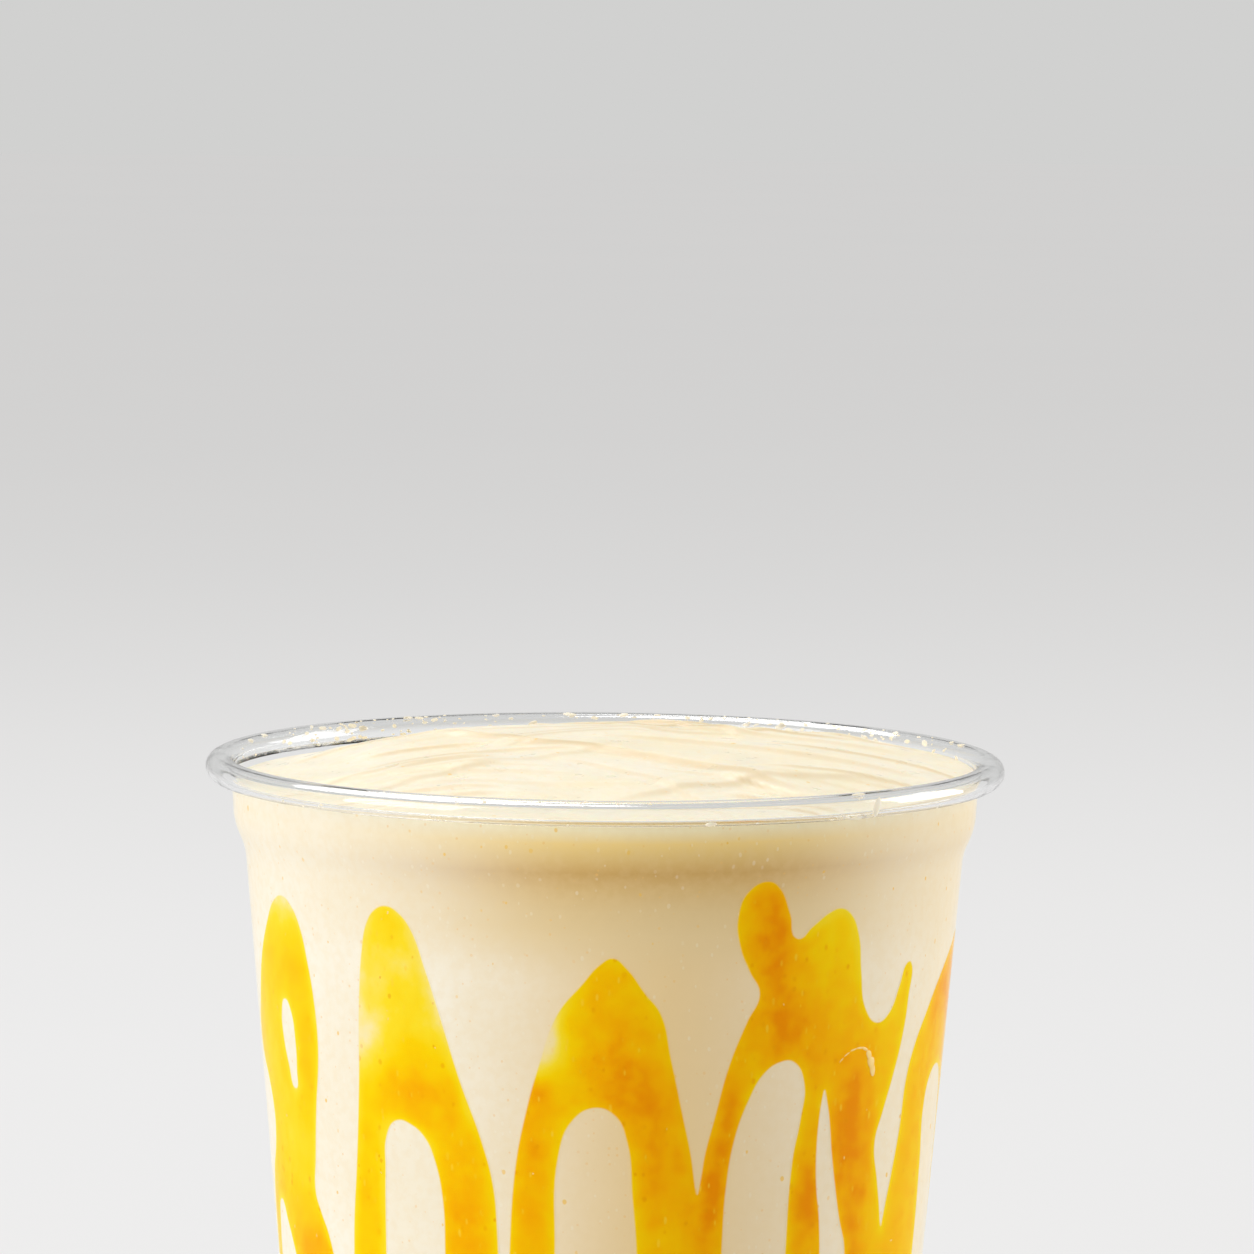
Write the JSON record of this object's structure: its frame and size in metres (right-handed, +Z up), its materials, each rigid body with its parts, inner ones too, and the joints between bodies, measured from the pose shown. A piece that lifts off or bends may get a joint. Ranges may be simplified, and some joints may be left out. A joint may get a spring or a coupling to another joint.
{
  "type": "mango frappe in a clear takeaway cup",
  "caption": "Tall tapered clear cup with a rolled rim, filled above the rim with thick pale frappe and lined with tall loops of mango sauce.",
  "frame": {"origin": "centre of the cup's standing ring, on the surface that it stands on", "axes": "+Z up along the cup's axis, -Y towards the front"},
  "size_m": [0.098, 0.098, 0.1483],
  "materials": {
    "cup": "clear, gloss",
    "frappe": "smooth, satin",
    "mango_sauce": "wet, gloss"
  },
  "bodies": {
    "root": {"cup": "cup", "frappe": "frappe", "sauce_loop_1": "mango_sauce", "sauce_loop_2": "mango_sauce", "sauce_loop_3": "mango_sauce", "sauce_loop_4": "mango_sauce", "sauce_loop_5": "mango_sauce", "sauce_loop_6": "mango_sauce", "sauce_loop_7": "mango_sauce", "sauce_loop_8": "mango_sauce", "sauce_loop_9": "mango_sauce", "sauce_loop_10": "mango_sauce"}
  },
  "joints": []
}
